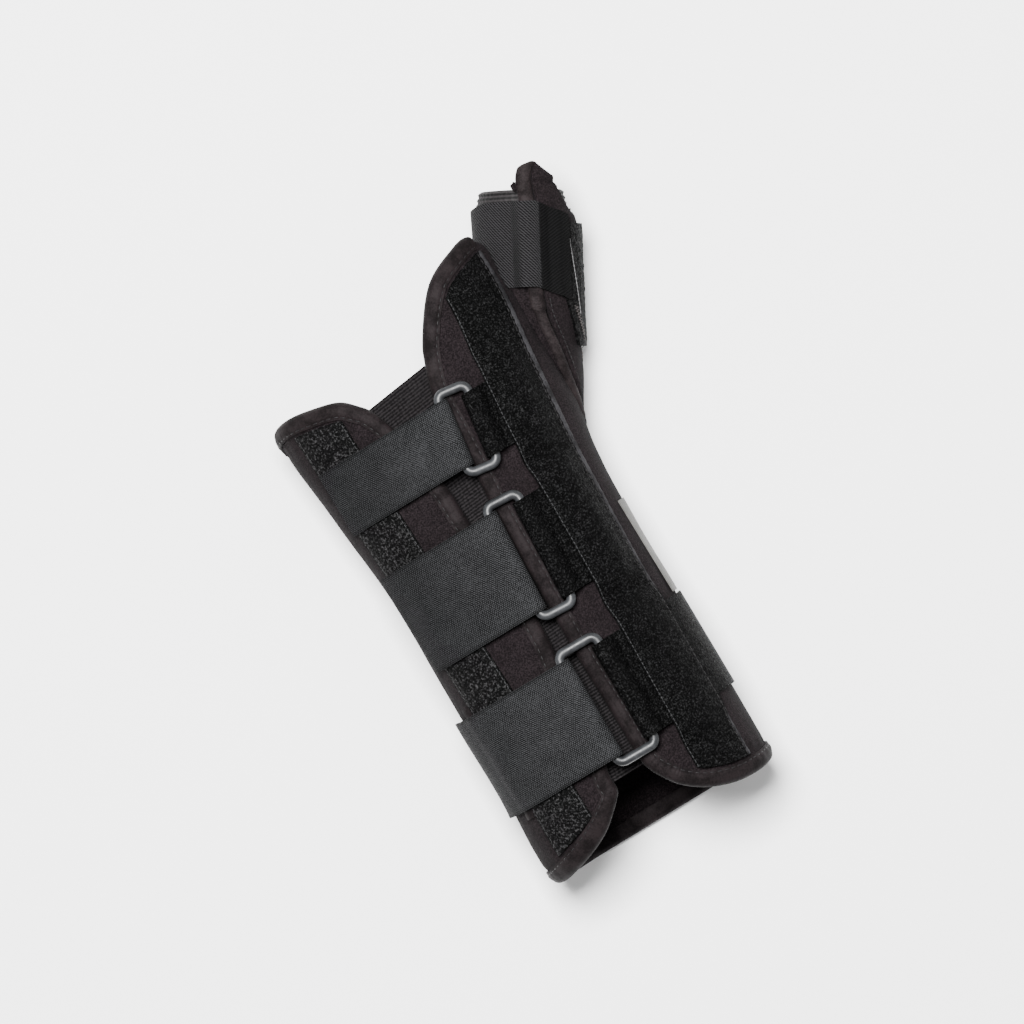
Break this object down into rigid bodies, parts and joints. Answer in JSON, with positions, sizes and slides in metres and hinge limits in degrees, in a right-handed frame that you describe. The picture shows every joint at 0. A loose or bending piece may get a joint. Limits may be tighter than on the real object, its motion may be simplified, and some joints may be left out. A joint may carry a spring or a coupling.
{
  "type": "thumb_spica_splint",
  "caption": "Left wrist and thumb splint: padded wrap open along the back of the hand, closed by straps doubled through rings, with a padded thumb sleeve and its own strap",
  "frame": {"origin": "middle of the flat underside of the palm wall, under the wrist", "axes": "+Y runs from the forearm end to the finger end, +X to the thumb side, +Z out of the back of the hand"},
  "size_m": [0.1322, 0.2244, 0.0717],
  "materials": {
    "laminate": "matte",
    "binding_tape": "matte",
    "knit": "matte",
    "pile": "matte",
    "webbing": "matte",
    "label": "matte",
    "ring_grey": "satin"
  },
  "bodies": {
    "root": {"body_shell": "laminate", "edge_binding": "binding_tape", "knit_tongue": "knit", "radial_pile_strip": "pile", "ulnar_pile_strip": "pile", "ring_1": "ring_grey", "ring_2": "ring_grey", "ring_3": "ring_grey", "pile_tab_1": "pile", "pile_tab_2": "pile", "pile_tab_3": "pile", "strap_1": "webbing", "strap_2": "webbing", "strap_3": "webbing", "strap_3_under_fold": "binding_tape", "side_label": "label", "thumb_sleeve": "laminate", "thumb_elastic_band": "knit", "thumb_stay_panel": "laminate", "thumb_stay_binding": "binding_tape", "thumb_pile_strip": "pile", "thumb_strap": "webbing"}
  },
  "joints": []
}
